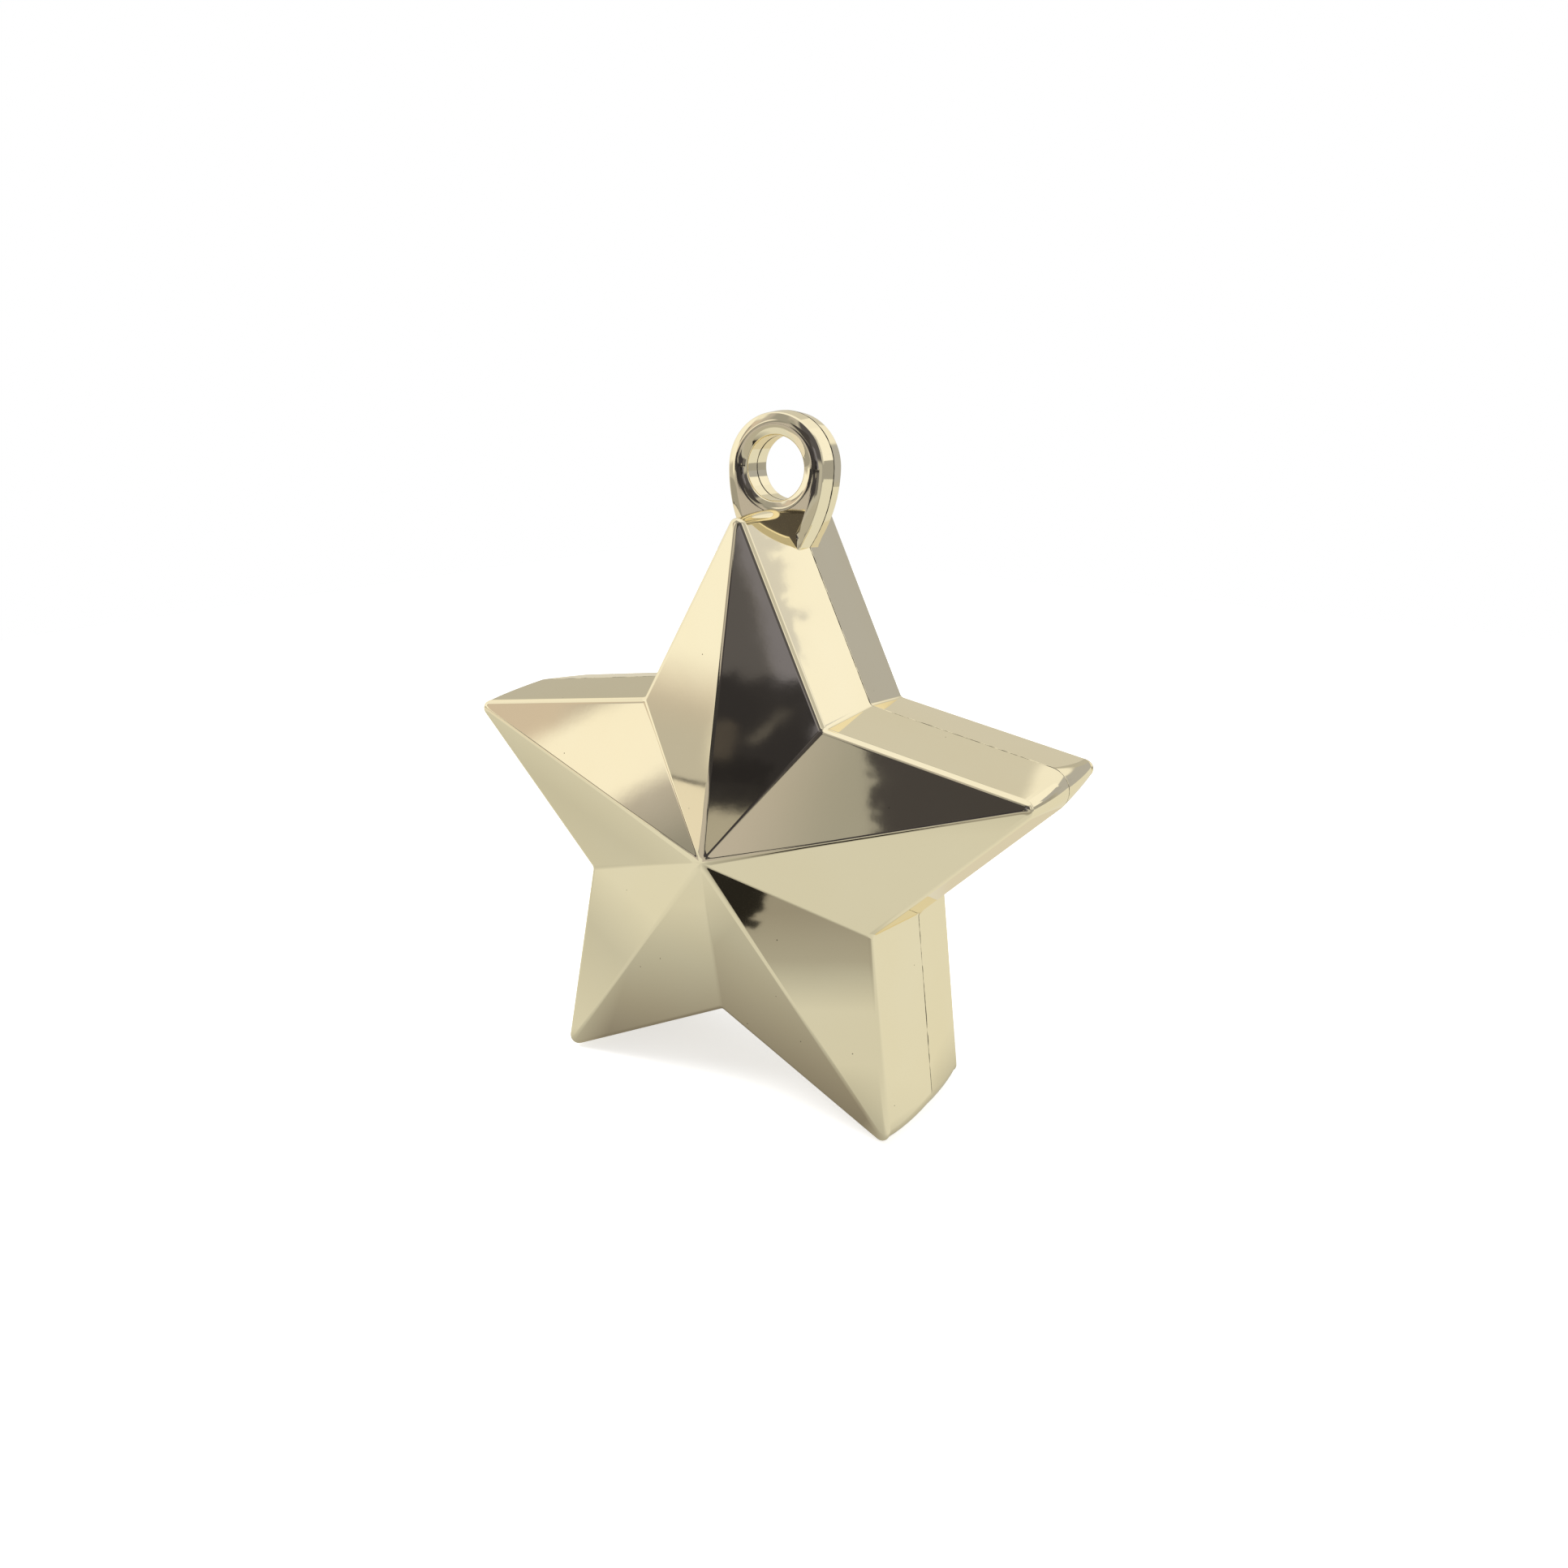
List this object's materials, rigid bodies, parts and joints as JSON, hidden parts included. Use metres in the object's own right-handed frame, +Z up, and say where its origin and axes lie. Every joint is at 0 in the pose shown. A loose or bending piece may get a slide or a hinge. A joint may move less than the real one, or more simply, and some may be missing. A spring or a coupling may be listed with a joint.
{
  "type": "balloon weight",
  "caption": "Faceted star-shaped balloon weight in mirror-plated plastic, filled with mortar, with a ring on its top point for tying ribbons.",
  "frame": {"origin": "on the floor under the middle of the star, where the parting plane meets the plane of the feet", "axes": "+Z up through the ring, -Y out of the front facets, +X to the right seen from the front; the two shells part at y = 0"},
  "size_m": [0.0818, 0.0354, 0.0895],
  "materials": {
    "plated_plastic": "polished",
    "mortar": "matte",
    "adhesive": "gloss"
  },
  "bodies": {
    "root": {"front_shell": "plated_plastic", "back_shell": "plated_plastic", "front_ballast": "mortar", "back_ballast": "mortar", "seam_adhesive": "adhesive"}
  },
  "joints": []
}
